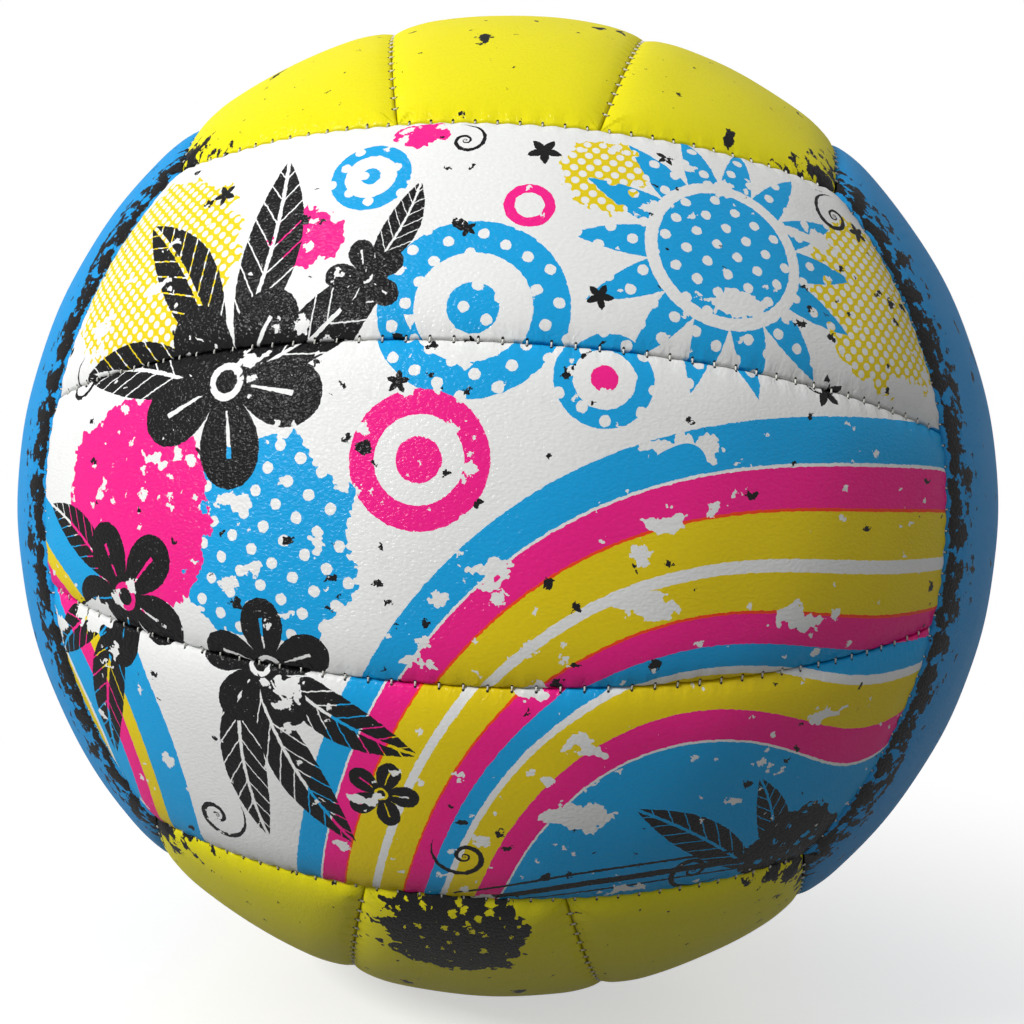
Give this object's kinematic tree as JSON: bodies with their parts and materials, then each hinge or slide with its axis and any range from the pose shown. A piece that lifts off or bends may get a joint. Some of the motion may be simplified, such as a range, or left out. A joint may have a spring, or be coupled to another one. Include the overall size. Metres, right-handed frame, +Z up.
{
  "type": "volleyball",
  "caption": "Stitched volleyball: puffed printed panels in strips of three on six faces, over foam pads, cloth backings, a rubber bladder and its inflation valve.",
  "frame": {"origin": "centre of the ball", "axes": "+Z up, -Y out of the front face, +Y out of the valve along its axis, +X to the right seen from the front"},
  "size_m": [0.213, 0.2129, 0.213],
  "materials": {
    "cover_printed": "white synthetic leather with a satin pebble grain, printed in cyan, pink, yellow and black",
    "cover_blue": "blue synthetic leather with a satin pebble grain and a black speckled print",
    "cover_yellow": "yellow synthetic leather with a satin pebble grain and a black spattered print",
    "foam": "closed-cell foam",
    "backing": "plain woven cloth",
    "thread": "waxed white thread",
    "bladder": "smooth butyl rubber",
    "valve_rubber": "moulded rubber",
    "valve_core_rubber": "soft self-sealing rubber"
  },
  "bodies": {
    "root": {"cover_front_lower": "cover_printed", "cover_front_middle": "cover_printed", "cover_front_upper": "cover_printed", "cover_back_lower": "cover_printed", "cover_back_middle": "cover_printed", "cover_back_upper": "cover_printed", "cover_left_fore": "cover_blue", "cover_left_middle": "cover_blue", "cover_left_aft": "cover_blue", "cover_right_fore": "cover_blue", "cover_right_middle": "cover_blue", "cover_right_aft": "cover_blue", "cover_top_right": "cover_yellow", "cover_top_middle": "cover_yellow", "cover_top_left": "cover_yellow", "cover_bottom_right": "cover_yellow", "cover_bottom_middle": "cover_yellow", "cover_bottom_left": "cover_yellow", "foam_front_lower": "foam", "foam_front_middle": "foam", "foam_front_upper": "foam", "foam_back_lower": "foam", "foam_back_middle": "foam", "foam_back_upper": "foam", "foam_left_fore": "foam", "foam_left_middle": "foam", "foam_left_aft": "foam", "foam_right_fore": "foam", "foam_right_middle": "foam", "foam_right_aft": "foam", "foam_top_right": "foam", "foam_top_middle": "foam", "foam_top_left": "foam", "foam_bottom_right": "foam", "foam_bottom_middle": "foam", "foam_bottom_left": "foam", "backing_front": "backing", "backing_back": "backing", "backing_left": "backing", "backing_right": "backing", "backing_top": "backing", "backing_bottom": "backing", "stitching_front": "thread", "stitching_back": "thread", "stitching_left": "thread", "stitching_right": "thread", "stitching_top": "thread", "stitching_bottom": "thread", "bladder": "bladder", "valve_patch": "bladder", "valve_body": "valve_rubber", "valve_core": "valve_core_rubber"}
  },
  "joints": []
}
